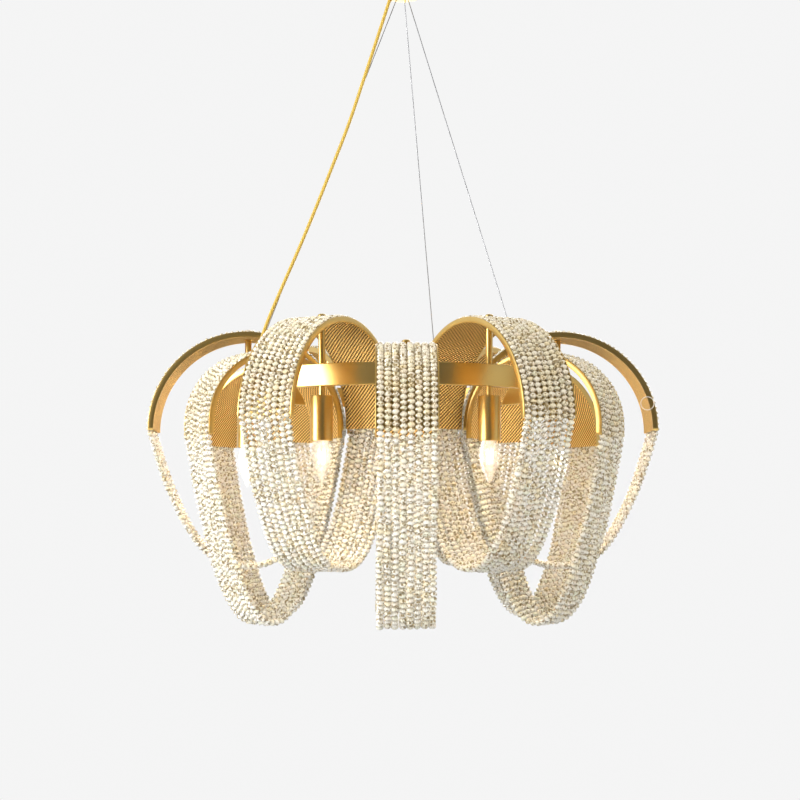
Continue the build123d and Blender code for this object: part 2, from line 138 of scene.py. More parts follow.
HUB_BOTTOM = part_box("wire_hub")[0][2]
WIRE = 1.5 * MM
WIRE_ANGLES = (45, 165, -75)
WIRE_POINTS = (0, 0.33, 0.67, 1)
WIRE_HUB_RADIUS = 9 * MM
FERRULE_LENGTH = 6 * MM
GRIPPER_LENGTH = 20 * MM
GRIPPER_BASE_HEIGHT = 7 * MM
CORD = 5.5 * MM
# The cord's route, hub to ring: distance from the axis and height in mm, angle from -Y
CORD_ROUTE = [
    (25.0, -80.0, -62.0),
    (47.0, -150.0, -68.5),
    (70.0, -222.0, -72.0),
    (93.0, -292.0, -72.2),
    (120.5, -361.0, -71.3),
    (147.5, -430.0, -71.7),
    (175.8, -498.0, -71.2),
    (205.3, -566.0, -71.8),
    (231.5, -627.0, -71.5),
    (249.0, -681.5, -71.8),
]

shake = np.random.default_rng(12)


def place(radius, height, angle):
    """Point at a radius and height, at an angle turned from -Y towards +X."""
    return np.array((radius * sin(radians(angle)), -radius * cos(radians(angle)), height))


def unit_axes(angle):
    """Outward, across and upward directions of the unit at an angle."""
    turn = radians(angle)
    outward = np.array((sin(turn), -cos(turn), 0.0))
    across = np.array((cos(turn), sin(turn), 0.0))
    return outward, across, np.array((0.0, 0.0, 1.0))


# ---------------------------------------------------------------- meshes
def make_piece(name, points, faces, finish, uv=None, smooth=True):
    """Mesh object from points and faces, all with as many corners, riding on the fixture."""
    mesh = bpy.data.meshes.new(name)
    points = np.asarray(points, float).reshape(-1, 3)
    faces = np.asarray(faces, int)
    sides = faces.shape[1]
    mesh.vertices.add(len(points))
    mesh.vertices.foreach_set("co", points.ravel())
    mesh.loops.add(faces.size)
    mesh.loops.foreach_set("vertex_index", faces.ravel())
    mesh.polygons.add(len(faces))
    mesh.polygons.foreach_set("loop_start", np.arange(0, faces.size, sides))
    mesh.polygons.foreach_set("loop_total", np.full(len(faces), sides))
    mesh.polygons.foreach_set("use_smooth", np.full(len(faces), smooth))
    if uv is not None:
        layer = mesh.uv_layers.new(name="UVMap")
        layer.uv.foreach_set("vector", np.asarray(uv, float).reshape(-1, 2).ravel())
    mesh.update()
    mesh.validate()
    mesh.materials.append(finish)
    piece = bpy.data.objects.new(name, mesh)
    bpy.context.scene.collection.objects.link(piece)
    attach(piece, "fixture")
    return piece


def sharpen_corners(piece):
    """Keeps corners past 35 degrees sharp and everything else smooth."""
    piece.data.set_sharp_from_angle(angle=radians(35))


def grid_faces(rows, columns, wrap_rows=False, wrap_columns=False):
    """Quads of a grid of points, row by row, with either way closed on itself."""
    row = np.arange(rows if wrap_rows else rows - 1)
    column = np.arange(columns if wrap_columns else columns - 1)
    r, c = (a.ravel() for a in np.meshgrid(row, column, indexing="ij"))
    r2, c2 = (r + 1) % rows, (c + 1) % columns
    return np.stack((r * columns + c, r2 * columns + c, r2 * columns + c2, r * columns + c2), 1)


def joined(parts):
    """Points and quads of several (points, quads) pairs as one pair."""
    points, faces, count = [], [], 0
    for some_points, some_faces in parts:
        some_points = np.asarray(some_points).reshape(-1, 3)
        points.append(some_points)
        faces.append(some_faces + count)
        count += len(some_points)
    return np.concatenate(points), np.concatenate(faces)


def turned(profile, centre, sides):
    """Turned form: radius and height pairs, from bottom axis to top, spun about an upright axis.

    Point = centre + (radius cos turn, radius sin turn, height).
    """
    profile = np.asarray(profile, float)
    turn = np.linspace(0, 2 * pi, sides, endpoint=False)
    radius, height = profile[:, :1], profile[:, 1:]
    x, y = radius * np.cos(turn), radius * np.sin(turn)
    points = np.stack((x, y, np.broadcast_to(height, x.shape)), -1) + np.asarray(centre)
    return points, grid_faces(len(profile), sides, wrap_columns=True)[:, ::-1]


def on_ring(profile, angles, sides):
    """The same turned form on the ring's middle line at each of the angles."""
    return [turned(profile, place(RING_RADIUS, 0, angle), sides) for angle in angles]


def carried(section, line, side, up):
    """Section carried along a line: point = station + side * section x + up * section y."""
    section = np.asarray(section, float)
    return (
        line[:, None] + side[:, None] * section[None, :, :1] + up[:, None] * section[None, :, 1:]
    )


def tube(line, radius, sides):
    """Round tube on a line of points, with a frame that doesn't twist."""
    askew = (0.3, 0.9, 0.1)      # no line here runs this way
    way = np.gradient(line, axis=0)
    way /= np.linalg.norm(way, axis=1)[:, None]
    side = np.cross(way, askew)
    side /= np.linalg.norm(side, axis=1)[:, None]
    up = np.cross(way, side)
    turn = np.linspace(0, 2 * pi, sides, endpoint=False)
    section = np.stack((np.cos(turn), np.sin(turn)), 1) * radius
    return carried(section, line, side, up), grid_faces(len(line), sides, wrap_columns=True)


def rounded_section(wide, tall, round_off, steps):
    """Rectangle with rounded corners of a few steps each, counter-clockwise."""
    turn = np.concatenate([np.linspace(q, q + 1, steps + 1) for q in range(4)]) * pi / 2
    sign_x = np.repeat((1, -1, -1, 1), steps + 1)
    sign_y = np.repeat((1, 1, -1, -1), steps + 1)
    x = sign_x * (wide / 2 - round_off) + round_off * np.cos(turn)
    y = sign_y * (tall / 2 - round_off) + round_off * np.sin(turn)
    return np.stack((x, y), 1)


# ---------------------------------------------------------------- finishes
class Wired:
    """A shader socket that takes plain arithmetic."""

    def __init__(self, finish, socket):
        self.finish, self.socket = finish, socket

    def maths(self, operation, *others):
        values = dict(enumerate((self, *others)))
        return self.finish.node("ShaderNodeMath", {"operation": operation}, values)

    def __add__(self, other):
        return self.maths("ADD", other)

    def __sub__(self, other):
        return self.maths("SUBTRACT", other)

    def __rsub__(self, other):
        return self.finish.node("ShaderNodeMath", {"operation": "SUBTRACT"}, {0: other, 1: self})

    def __mul__(self, other):
        return self.maths("MULTIPLY", other)

    __radd__ = __add__

    def sine(self):
        return self.maths("SINE")

    def larger(self, other):
        return self.maths("MAXIMUM", other)

    def held(self):
        """Kept between 0 and 1."""
        return self.larger(0.0).maths("MINIMUM", 1.0)


class Finish:
    """One material: a gloss shader and the nodes that feed it."""

    def __init__(self, name):
        self.material = bpy.data.materials.new(name)
        self.material.use_nodes = True
        self.tree = self.material.node_tree
        self.tree.nodes.clear()
        self.shader = self.tree.nodes.new("ShaderNodeBsdfPrincipled")
        output = self.tree.nodes.new("ShaderNodeOutputMaterial")
        self.tree.links.new(self.shader.outputs[0], output.inputs[0])

    @classmethod
    def of_tree(cls, tree):
        """The same helpers on a node tree that isn't a material's."""
        finish = cls.__new__(cls)
        finish.tree = tree
        return finish

    def put(self, socket, value):
        """Links or sets one input socket."""
        if isinstance(value, Wired):
            self.tree.links.new(value.socket, socket)
        elif hasattr(socket.default_value, "__len__") and len(socket.default_value) == 4:
            socket.default_value = (*value[:3], 1.0)
        else:
            socket.default_value = value

    def node(self, kind, settings, values, out=0):
        """Adds a node: its settings first, then its sockets; returns one output."""
        node = self.tree.nodes.new(kind)
        for key, value in settings.items():
            setattr(node, key, value)
        for key, value in values.items():
            self.put(node.inputs[key], value)
        return Wired(self, node.outputs[out])

    def give(self, **values):
        """Sets the gloss shader's sockets, with _ for a space in their names."""
        for key, value in values.items():
            self.put(self.shader.inputs[key.replace("_", " ")], value)
        return self.material

    def coordinates(self, out="Object"):
        return self.node("ShaderNodeTexCoord", {}, {}, out)

    def split(self, vector):
        """The x, y and z of a vector socket."""
        node = self.tree.nodes.new("ShaderNodeSeparateXYZ")
        self.tree.links.new(vector.socket, node.inputs[0])
        return [Wired(self, output) for output in node.outputs]

    def ray(self, kind):
        """1 where a ray of this kind asks for the colour."""
        return self.node("ShaderNodeLightPath", {}, {}, f"Is {kind} Ray")

    def noise(self, scale, detail=2.0):
        values = {"Vector": self.coordinates(), "Scale": scale, "Detail": detail}
        return self.node("ShaderNodeTexNoise", {}, values)

    def mix(self, factor, first, second):
        values = {0: factor, 6: first, 7: second}
        return self.node("ShaderNodeMix", {"data_type": "RGBA"}, values, 2)

    def bump(self, height, depth, strength):
        values = {"Height": height, "Distance": depth, "Strength": strength}
        return self.node("ShaderNodeBump", {}, values)


def satin_gold():
    """Plated and brushed: fine grain in the gloss, slow drift in the colour."""
    finish = Finish("satin_gold")
    drift = finish.noise(14.0)
    grain = finish.noise(900.0, 3.0)
    deep, bright = (0.70, 0.46, 0.13), (0.81, 0.575, 0.21)
    return finish.give(
        Base_Color=finish.mix(drift, deep, bright),
        Metallic=1.0,
        Roughness=grain * 0.12 + 0.24,
        Normal=finish.bump(grain, 0.00005, 0.35),
    )


def woven_gold():
    """Twilled wire: painted shade in the slanting furrows, and painted highlights on the humps
    along each slanting wire.

    The map's x and y are millimetres along the arch and across it.
    """
    finish = Finish("woven_gold")
    along, over, _ = finish.split(finish.coordinates("UV"))
    waves = 2 * pi / 6.0         # a furrow every 6 mm along the arch
    furrow = ((along + over) * waves).sine() * 0.5 + 0.5
    hump = ((along - over) * waves).sine() * 0.5 + 0.5
    cloud = finish.noise(55.0)
    # lit is painted light: painted shade in the furrows and painted highlights on the humps; it
    # also drives the bump and the roughness
    lit = (furrow * 1.6 + hump * 0.8 - 0.61).held()
    # The dark colour is painted shade, the bright one a painted highlight
    weave_and_painted_light = finish.mix(lit, (0.07, 0.022, 0.004), (1.0, 0.70, 0.27))
    return finish.give(
        Base_Color=finish.mix(cloud * 0.15, weave_and_painted_light, (0.95, 0.62, 0.22)),
        Metallic=0.35,
        Specular_IOR_Level=0.0,
        Roughness=0.75 - lit * 0.15,
        Normal=finish.bump(lit, 0.0009, 1.0),
    )


def clear_crystal():
    """Cut glass beads: the colour of every facet, a pale tint with painted reflections and painted
    shade, is worked out with the beads' shape.
    """
    finish = Finish("clear_crystal")
    tone = finish.node("ShaderNodeAttribute", {"attribute_name": "tone"}, {}, "Color")
    return finish.give(Base_Color=tone, Roughness=0.04, IOR=1.6, Transmission_Weight=0.22)


def bulb_glass():
    """Thin clear glass, fuller and brighter to the eye where it faces the eye."""
    finish = Finish("bulb_glass")
    core = 1 - finish.node("ShaderNodeLayerWeight", {}, {"Blend": 0.4}, "Facing")
    return finish.give(
        Base_Color=(1.0, 0.97, 0.92),
        Roughness=0.03,
        IOR=1.12,
        Transmission_Weight=1.0,
        Alpha=core * core * core * 0.60 + 0.05,
        Emission_Color=finish.mix(core, (0.40, 0.28, 0.15), (1.0, 0.95, 0.82)),
        Emission_Strength=0.55,
    )


def hot_filament():
    """Glowing wire."""
    return Finish("hot_filament").give(
        Base_Color=(1, 0.8, 0.5), Emission_Color=(1.0, 0.86, 0.62), Emission_Strength=1.6
    )


def steel_wire():
    """Bare stranded steel: slanting lines round the wire."""
    finish = Finish("steel_wire")
    x, _, z = finish.split(finish.coordinates())
    lay = ((z * 2 + x) * 4000).sine()
    return finish.give(
        Base_Color=finish.mix(lay * 0.5 + 0.5, (0.30, 0.30, 0.31), (0.62, 0.62, 0.64)),
        Metallic=1.0,
        Roughness=0.35,
    )


def gold_braid():
    """Braided sleeve of a flexible lead: slanting threads in two golds."""
    finish = Finish("gold_braid")
    x, _, z = finish.split(finish.coordinates())
    lay = ((z + x * 0.6) * 1500).sine() * ((z - x * 0.9) * 1500).sine()
    return finish.give(
        Base_Color=finish.mix(lay * 0.5 + 0.5, (0.58, 0.35, 0.04), (0.82, 0.60, 0.14)),
        Metallic=0.25,
        Roughness=0.45,
        Normal=finish.bump(lay, 0.0006, 0.8),
    )


def zinc_steel():
    """Zinc-plated fittings: cloudy grey."""
    finish = Finish("zinc_steel")
    cloud = finish.noise(120.0, 4.0)
    return finish.give(
        Base_Color=finish.mix(cloud, (0.50, 0.51, 0.52), (0.72, 0.73, 0.72)),
        Metallic=1.0,
        Roughness=cloud * 0.2 + 0.3,
    )


def ivory_plastic():
    """Moulded plastic in a warm white."""
    finish = Finish("ivory_plastic")
    cloud = finish.noise(200.0)
    return finish.give(
        Base_Color=finish.mix(cloud, (0.78, 0.75, 0.68), (0.84, 0.81, 0.74)),
        Roughness=cloud * 0.15 + 0.45,
    )


gold = satin_gold()
woven = woven_gold()
crystal = clear_crystal()
glass = bulb_glass()
filament_glow = hot_filament()
steel = steel_wire()
braid = gold_braid()
zinc = zinc_steel()
ivory = ivory_plastic()


# ---------------------------------------------------------------- ring
def make_ring():
    """Rectangular tube closed on itself: a rounded rectangle turned round the lamp's axis."""
    section = rounded_section(RING_WALL, RING_TOP - RING_BOTTOM, RING_ROUND, 4)
    section += (RING_RADIUS, (RING_TOP + RING_BOTTOM) / 2)
    points, _ = turned(section, (0, 0, 0), RING_SIDES)
    faces = grid_faces(len(section), RING_SIDES, wrap_rows=True, wrap_columns=True)[:, ::-1]
    ring = make_piece("ring_tube", points, faces, gold)
    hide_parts("ring")


# ---------------------------------------------------------------- arches
def over_the_arch(radius, leg, count):
    """Stations from the outer leg's foot over the half circle to the inner leg's foot.

    Equal steps along the line. Returns each station's distance out and height over the centre,
    its normal, and how far along the line it is.
    """
    length = 2 * leg + pi * radius
    run = np.linspace(0, length, count)
    turn = np.clip((run - leg) / radius, 0, pi)
    below = np.minimum(run - leg, 0) + np.minimum(length - leg - run, 0)
    flat = np.stack((radius * np.cos(turn), radius * np.sin(turn) + below), 1)
    return flat, np.stack((np.cos(turn), np.sin(turn)), 1), run


def unit_path(radius, leg, angle):
    """Stations of an arch in space: points, across directions, normals and distance run."""
    outward, across, up = unit_axes(angle)
    flat, normal, run = over_the_arch(radius, leg, ARCH_STATIONS)
    points = place(RING_RADIUS, ARCH_Z, angle) + flat[:, :1] * outward + flat[:, 1:] * up
    normals = normal[:, :1] * outward + normal[:, 1:] * up
    return points, np.broadcast_to(across, points.shape), normals, run


def capped(points, faces, sides):
    """Adds flat ends to a carried section of an even number of sides."""
    last = (len(points) - 1) * sides
    ends = []
    for start, flip in ((0, False), (last, True)):
        for i in range(sides // 2 - 1):
            quad = (start + i, start + i + 1, start + sides - 2 - i, start + sides - 1 - i)
            ends.append(quad[::-1] if flip else quad)
    return points.reshape(-1, 3), np.concatenate((faces, np.array(ends)))


def make_arches(kind, node):
    """Two edge strips and a web on each arch, each a section carried over the half circle.

    The web is woven on its inner side and plain gold outside, where the beads lie.
    """
    unit = UNITS[kind]
    edge_section = rounded_section(EDGE_THICK, UPSTAND, EDGE_ROUND, 2)
    edge_faces = grid_faces(ARCH_STATIONS, len(edge_section), wrap_columns=True)
    x, y = STRIP_WIDTH / 2 - EDGE_THICK, WEB_THICK / 2
    web_section = np.array(((-x, -y), (x, -y), (x, y), (-x, y)))
    web_faces = grid_faces(ARCH_STATIONS, 4, wrap_columns=True)
    station, corner = web_faces // 4, web_faces % 4
    edges, webs, web_uv = [], [], []
    for angle in unit.angles:
        points, across, normals, _ = unit_path(unit.radius - UPSTAND / 2, unit.leg, angle)
        for side in (1, -1):
            shift = across * side * (STRIP_WIDTH - EDGE_THICK) / 2
            edge = carried(edge_section, points + shift, across, normals)
            edges.append(capped(edge, edge_faces, len(edge_section)))
        web_radius = unit.radius - UPSTAND + WEB_THICK / 2 + WEB_LIFT
        points, across, normals, run = unit_path(web_radius, unit.leg, angle)
        webs.append((carried(web_section, points, across, normals), web_faces))
        web_uv.append(np.stack((run[station], web_section[corner, 0]), -1) / MM)
    frames = make_piece(f"arch_edges_{kind}", *joined(edges), gold)
    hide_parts(node)
    web = make_piece(
        f"arch_lining_{kind}", *joined(webs), woven, uv=np.concatenate(web_uv), smooth=False
    )
    web.data.materials.append(gold)
    plain = np.any(corner > 1, axis=1).astype(int)
    web.data.polygons.foreach_set("material_index", np.tile(plain, len(unit.angles)))


# ---------------------------------------------------------------- bead curtains
def bead_shape():
    """One bead on its thread: rings of points, each turned half a step past the last.

    Point = (radius cos turn, radius sin turn, height); the turned rings make slanting facets.
    """
    step = 2 * pi / BEAD_SIDES
    radius, height, half_turns = BEAD_RINGS[:, 0:1], BEAD_RINGS[:, 1:2], BEAD_RINGS[:, 2:3]
    corner = np.arange(BEAD_SIDES)
    turn = corner * step + half_turns * step / 2
    x, y = radius * np.cos(turn), radius * np.sin(turn)
    points = np.stack((x, y, np.broadcast_to(height, x.shape)), -1) * BEAD / 2
    ahead = np.roll(corner, -1)
    faces = []
    for ring, (_, _, half_turn) in enumerate(BEAD_RINGS[:-1]):
        low, high = ring * BEAD_SIDES + corner, (ring + 1) * BEAD_SIDES + corner
        low_next, high_next = ring * BEAD_SIDES + ahead, (ring + 1) * BEAD_SIDES + ahead
        if half_turn:
            faces += [np.stack((low, high_next, high), 1), np.stack((low, low_next, high_next), 1)]
        else:
            faces += [np.stack((low, low_next, high), 1), np.stack((high, low_next, high_next), 1)]
    return points.reshape(-1, 3), np.concatenate(faces)


def facet_tones(over_gold):
    """Colour of each facet: tone = (shade + (tint - shade) * light) * what the painted gold leaves.

    Light is painted light: near 1 on most facets of the bead's widest rows, with one in five a
    painted dark reflection, and low on the facets next to the thread, whose painted shade between
    the beads closes each row with a dark dot. Over_gold is 1 for a bead that lies on a strip, whose
    gold seen through the glass is painted into its colour, and 0 for one that hangs free.
    """
    beads = len(over_gold)
    # Painted shade: the rows of facets next to the thread are darkened to 0.40, where the beads
    # meet
    belt_with_painted_end_shade = np.repeat((0.40, 1.0, 1.0, 1.0, 1.0, 0.40), BEAD_SIDES)
    draw = shake.random((beads, len(belt_with_painted_end_shade)))
    # Painted dark reflections: about one facet in five is made dark
    clear = np.interp(draw, (0.0, 0.58, 0.78, 0.81, 1.0), (1.0, 0.96, 0.80, 0.14, 0.0))
    light = belt_with_painted_end_shade * clear
    pales = np.array(
        ((1.0, 0.98, 0.90), (1.0, 0.96, 0.80), (0.99, 0.92, 0.80), (0.96, 0.97, 0.82),
         (1.0, 0.91, 0.68))
    )
    pale_shares = (0.42, 0.34, 0.10, 0.07, 0.07)
    tint = pales[shake.choice(len(pales), beads, p=pale_shares)][:, None]
    # shade is the colour of the painted shade and of the painted dark reflections
    shade = np.array((0.31, 0.235, 0.11))
    # Painted gold seen through the glass, taken off the colour of beads that lie on a strip
    painted_gold_through_glass = np.array((0.03, 0.085, 0.19))
    tone = shade + (tint - shade) * light[..., None]
    tone *= 1 - over_gold[:, None, None] * painted_gold_through_glass
    return np.concatenate((tone, np.ones((beads, len(belt_with_painted_end_shade), 1))), -1)


def strand_line(unit):
    """Even stations on the closed line of bead centres in the unit's plane, and the way on.

    Over the arch it is the half circle; below, depth = leg + sag (1 - |x / half| ^ fullness).
    """
    half = unit.radius - UPSTAND + EDGE_THICK + SEAT_GAP + BEAD / 2
    turn = np.linspace(0, pi, 400)
    arch = np.stack((half * np.cos(turn), half * np.sin(turn)), 1)
    x = -half * np.cos(np.linspace(0, pi, 900))
    depth = unit.leg + unit.sag * (1 - np.abs(x / half) ** unit.fullness)
    line = np.concatenate((arch, np.stack((x, -depth), 1), arch[:1]))
    run = np.concatenate(((0,), np.cumsum(np.linalg.norm(np.diff(line, axis=0), axis=1))))
    keep = np.concatenate(((True,), np.diff(run) > 1e-9))
    line, run = line[keep], run[keep]

    def at(distance):
        return np.stack([np.interp(distance % run[-1], run, line[:, i]) for i in (0, 1)], 1)

    count = int(run[-1] / BEAD_PITCH)
    station = np.arange(count) * run[-1] / count
    way = at(station + BEAD_PITCH / 4) - at(station - BEAD_PITCH / 4)
    return at(station), way / np.linalg.norm(way, axis=1)[:, None]


def make_curtain(kind, number, angle):
    """Eight strands of beads: every bead is the one shape, set on the line and rolled by chance."""
    unit = UNITS[kind]
    outward, across, up = unit_axes(angle)
    line, way = strand_line(unit)
    shape, shape_faces = bead_shape()
    count = len(line)
    middle = place(RING_RADIUS, ARCH_Z, angle) + line[:, :1] * outward + line[:, 1:] * up
    thread = way[:, :1] * outward + way[:, 1:] * up
    normal = np.cross(thread, across)
    wide, deep = across * BEAD_WIDE, normal * BEAD_DEEP
    on_strip = line[:, 1] > -unit.leg
    free = np.clip(-(line[:, 1] + unit.leg) / SWAY_ONSET, 0, 1)
    at_finial = np.exp(-((line[:, 0] / PARTING_REACH) ** 2)) * (line[:, 1] > 0)
    round_the_loop = np.linspace(0, 2 * pi, count, endpoint=False)
    points = []
    for strand in range(STRANDS):
        shift = (strand - (STRANDS - 1) / 2) * STRAND_PITCH
        waves = [
            np.sin(times * round_the_loop + phase)
            for times, phase in zip((3, 7, 4, 9), shake.random(4) * 2 * pi)
        ]
        sway = free * SWAY * (waves[0] + 0.6 * waves[1])
        sink = free * SINK * (waves[2] + waves[3])
        part = np.sign(shift) * at_finial * PARTING * (abs(shift) < STRAND_PITCH)
        step = (shake.random() - 0.5) * BEAD_PITCH
        side = (shift + sway + part)[:, None]
        centre = middle + side * across + thread * step + normal * sink[:, None]
        roll = (shake.random(count) * 2 * pi)[:, None]
        size = 1 + (shake.random(count) - 0.5) * BEAD_SPREAD
        side_axis = np.cos(roll) * wide + np.sin(roll) * deep
        up_axis = np.cos(roll) * deep - np.sin(roll) * wide
        bead = (
            shape[None, :, :1] * side_axis[:, None]
            + shape[None, :, 1:2] * up_axis[:, None]
            + shape[None, :, 2:] * thread[:, None]
        ) * size[:, None, None]
        points.append(centre[:, None] + bead)
    points = np.concatenate(points)
    start = np.arange(len(points)) * len(shape)
    faces = (shape_faces[None] + start[:, None, None]).reshape(-1, 3)
    curtain = make_piece(f"beads_{kind}_{number}", points, faces, crystal, smooth=False)
    # The tone of each facet carries its tint with painted reflections and painted shade
    tone = curtain.data.attributes.new("tone", "FLOAT_COLOR", "FACE")
    tone.data.foreach_set("color", facet_tones(np.tile(on_strip, STRANDS)).ravel())
    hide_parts(f"bead_curtain_{kind}_{number}")


# ---------------------------------------------------------------- rods, finials, thread loop
def make_rods(kind):
    """Round rods from the ring up to the strips."""
    unit = UNITS[kind]
    top = ARCH_Z + unit.radius - UPSTAND - SEAT_GAP
    profile = [(0, RING_TOP), (ROD / 2, RING_TOP), (ROD / 2, top), (0, top)]
    rods = make_piece(f"round_rods_{kind}", *joined(on_ring(profile, unit.angles, 32)), gold)
    sharpen_corners(rods)
    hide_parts(f"rods_{kind}")


def make_finials():
    """Studs with a low dome: a quarter of a flat ellipse turned about the stud."""
    dome = FINIAL / 2
    turn = np.linspace(0, pi / 2, 9)
    parts = []
    for unit in UNITS.values():
        foot = ARCH_Z + unit.radius - UPSTAND + EDGE_THICK
        seat = foot + SEAT_GAP + BEAD + SEAT_GAP
        profile = [
            (0, foot), (STUD / 2, foot), (STUD / 2, seat), (dome - FINIAL_EDGE, seat),
            (dome, seat + FINIAL_EDGE),
        ]
        profile += [(dome * cos(a), seat + FINIAL_RIM + FINIAL_RISE * sin(a)) for a in turn]
        parts += on_ring(profile, unit.angles, 24)
    finials = make_piece("domed_finials", *joined(parts), gold)
    sharpen_corners(finials)
    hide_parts("finials")


def make_thread_loop():
    """Loop of thin wire on the edge of the arch at +X: a circle in the plane of that edge."""
    turn = np.linspace(0, 2 * pi, 49)
    circle = np.stack((np.cos(turn), np.zeros_like(turn), np.sin(turn)), 1) * LOOP_SIZE / 2
    centre = np.array((RING_RADIUS, -STRIP_WIDTH / 2 - LOOP_WIRE / 2, ARCH_Z)) + LOOP_PLACE
    loop = make_piece("thread_loop", *tube(circle + centre, LOOP_WIRE / 2, 8), ivory)


# ---------------------------------------------------------------- lamps
def make_sleeves():
    """Sleeve with its neck: closed above the holder, open below."""
    outer, inner = SLEEVE / 2, SLEEVE / 2 - SLEEVE_WALL
    profile = [
        (0, HOLDER_TOP), (inner, HOLDER_TOP), (inner, SLEEVE_MOUTH), (outer, SLEEVE_MOUTH),
        (outer, SLEEVE_TOP - SLEEVE_ROUND),
        (outer - 0.4 * SLEEVE_ROUND, SLEEVE_TOP - 0.3 * SLEEVE_ROUND),
        (outer - SLEEVE_ROUND, SLEEVE_TOP), (NECK / 2, SLEEVE_TOP), (NECK / 2, RING_BOTTOM),
        (0, RING_BOTTOM),
    ]
    sleeves = make_piece("lamp_sleeves_round", *joined(on_ring(profile, LAMP_ANGLES, 48)), gold)
    sharpen_corners(sleeves)
    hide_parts("lamp_sleeves")


def make_holders():
    """Holder inside the sleeve, with a socket for the bulb's cap."""
    socket, outer = CAP / 2 + CAP_GAP, HOLDER / 2
    socket_top = HOLDER_MOUTH + CAP_LENGTH
    profile = [
        (0, socket_top), (socket, socket_top), (socket, HOLDER_MOUTH),
        (outer - HOLDER_ROUND, HOLDER_MOUTH), (outer, HOLDER_MOUTH + HOLDER_ROUND),
        (outer, HOLDER_TOP), (0, HOLDER_TOP),
    ]
    holders = make_piece("holders_round", *joined(on_ring(profile, LAMP_ANGLES, 40)), ivory)
    sharpen_corners(holders)
    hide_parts("lampholders")


def make_bulbs():
    """Glass that swells from the cap and draws out to the tip, and the cap with its thread.

    The thread is rings: radius = cap's - depth + depth * sine of the height.
    """
    share = np.linspace(0, 1, 28)
    girth = np.interp(share, GLASS_LENGTHS, GLASS_GIRTHS) * BULB / 2
    profile = np.stack((girth, HOLDER_MOUTH - share * BULB_LENGTH), 1)[::-1]
    bulbs = make_piece("candle_bulbs", *joined(on_ring(profile, LAMP_ANGLES, 32)), glass)
    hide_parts("bulbs")

    height = np.linspace(0, CAP_LENGTH, 60)
    ripple = CAP_THREAD_DEPTH * np.sin(height / CAP_THREAD * 2 * pi)
    profile = np.stack((CAP / 2 - CAP_THREAD_DEPTH + ripple, HOLDER_MOUTH + height), 1)
    profile = np.concatenate((((0, HOLDER_MOUTH),), profile, ((0, HOLDER_MOUTH + CAP_LENGTH),)))
    caps = make_piece("bulb_caps", *joined(on_ring(profile, LAMP_ANGLES, 28)), zinc)


def make_filaments():
    """Upright hairpins round a middle, as one zigzag on a circle, and a small light in each."""
    turn = np.linspace(0, 2 * pi, 97)
    zigzag = np.abs(((turn / (2 * pi) * HAIRPINS) % 1) * 2 - 1) * 2 - 1
    x, y = FILAMENT_RADIUS * np.cos(turn), FILAMENT_RADIUS * np.sin(turn)
    line = np.stack((x, y, GLOW_HEIGHT + HAIRPIN_REACH * zigzag), 1)
    parts = [
        tube(line + place(RING_RADIUS, 0, angle), FILAMENT_WIRE / 2, 6) for angle in LAMP_ANGLES
    ]
    filaments = make_piece("filaments", *joined(parts), filament_glow)

    for angle in LAMP_ANGLES:
        lamp = bpy.data.lights.new("bulb_light", "POINT")
        lamp.energy = GLOW_WATTS
        lamp.color = GLOW_COLOUR
        lamp.shadow_soft_size = GLOW_RADIUS
        glow = bpy.data.objects.new("bulb_light", lamp)
        glow.location = place(RING_RADIUS, GLOW_HEIGHT, angle)
        glow.parent = filaments
        glow.visible_camera = False
        glow.visible_transmission = False
        glow.visible_glossy = False
        bpy.context.scene.collection.objects.link(glow)


# ---------------------------------------------------------------- suspension
def make_line(name, points, width, finish, node):
    """Free cord or wire: one smooth curve through the route, with its real thickness."""
    curve = bpy.data.curves.new(name, "CURVE")
    curve.dimensions = "3D"
    curve.bevel_depth = width / 2
    curve.bevel_resolution = 4
    curve.resolution_u = 12
    spline = curve.splines.new("NURBS")
    spline.points.add(len(points) - 1)
    for control, point in zip(spline.points, points):
        control.co = (*point, 1.0)
    spline.order_u = 3
    spline.use_endpoint_u = True
    curve.use_fill_caps = True
    curve.materials.append(finish)
    piece = bpy.data.objects.new(name, curve)
    bpy.context.scene.collection.objects.link(piece)
    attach(piece, "fixture")
    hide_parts(node)
    return piece


def make_suspension():
    """Three straight wires from the hub's ferrules to the ring's grippers, and the power cord."""
    for number, angle in enumerate(WIRE_ANGLES, 1):
        foot = place(RING_RADIUS, RING_TOP + GRIPPER_BASE_HEIGHT / 2, angle)
        head = place(WIRE_HUB_RADIUS, HUB_BOTTOM, angle)
        up = (head - foot) / np.linalg.norm(head - foot)
        start, end = foot + up * GRIPPER_LENGTH, head - up * FERRULE_LENGTH
        points = [end + (start - end) * share for share in WIRE_POINTS]
        wire = make_line(
            f"steel_wire_{number}", points, WIRE, steel, f"suspension_wire_{number}",
        )
    route = [place(radius * MM, height * MM, angle) for radius, height, angle in CORD_ROUTE]
    cord = make_line(
        "braided_cord", route, CORD, braid, "power_cord"
    )


# ---------------------------------------------------------------- CAD pieces shown as they are
NODE_FINISHES = {
    "ceiling_bracket": zinc,
    "hanger_link": zinc,
    "upper_pin": zinc,
    "lower_pin": zinc,
    "terminal_block": ivory,
}


def dress_nodes():
    """Gives every CAD node its finish: gold, where the table above names no other."""
    for name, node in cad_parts.items():
        for slot in node.material_slots:
            slot.material = NODE_FINISHES.get(name, gold)


# ---------------------------------------------------------------- stage
SEEN_BRIGHTNESS = 0.91       # of the surroundings, to the eye and through glass
MATT_BRIGHTNESS = 0.80       # as they light matt surfaces
FLOOR_Z = -2.6
FLOOR_HALF = 3.0
LAMP_MIDDLE = np.array((0, 0, -0.82))
WHITE, WARM = (1.0, 1.0, 1.0), (1.0, 0.78, 0.42)
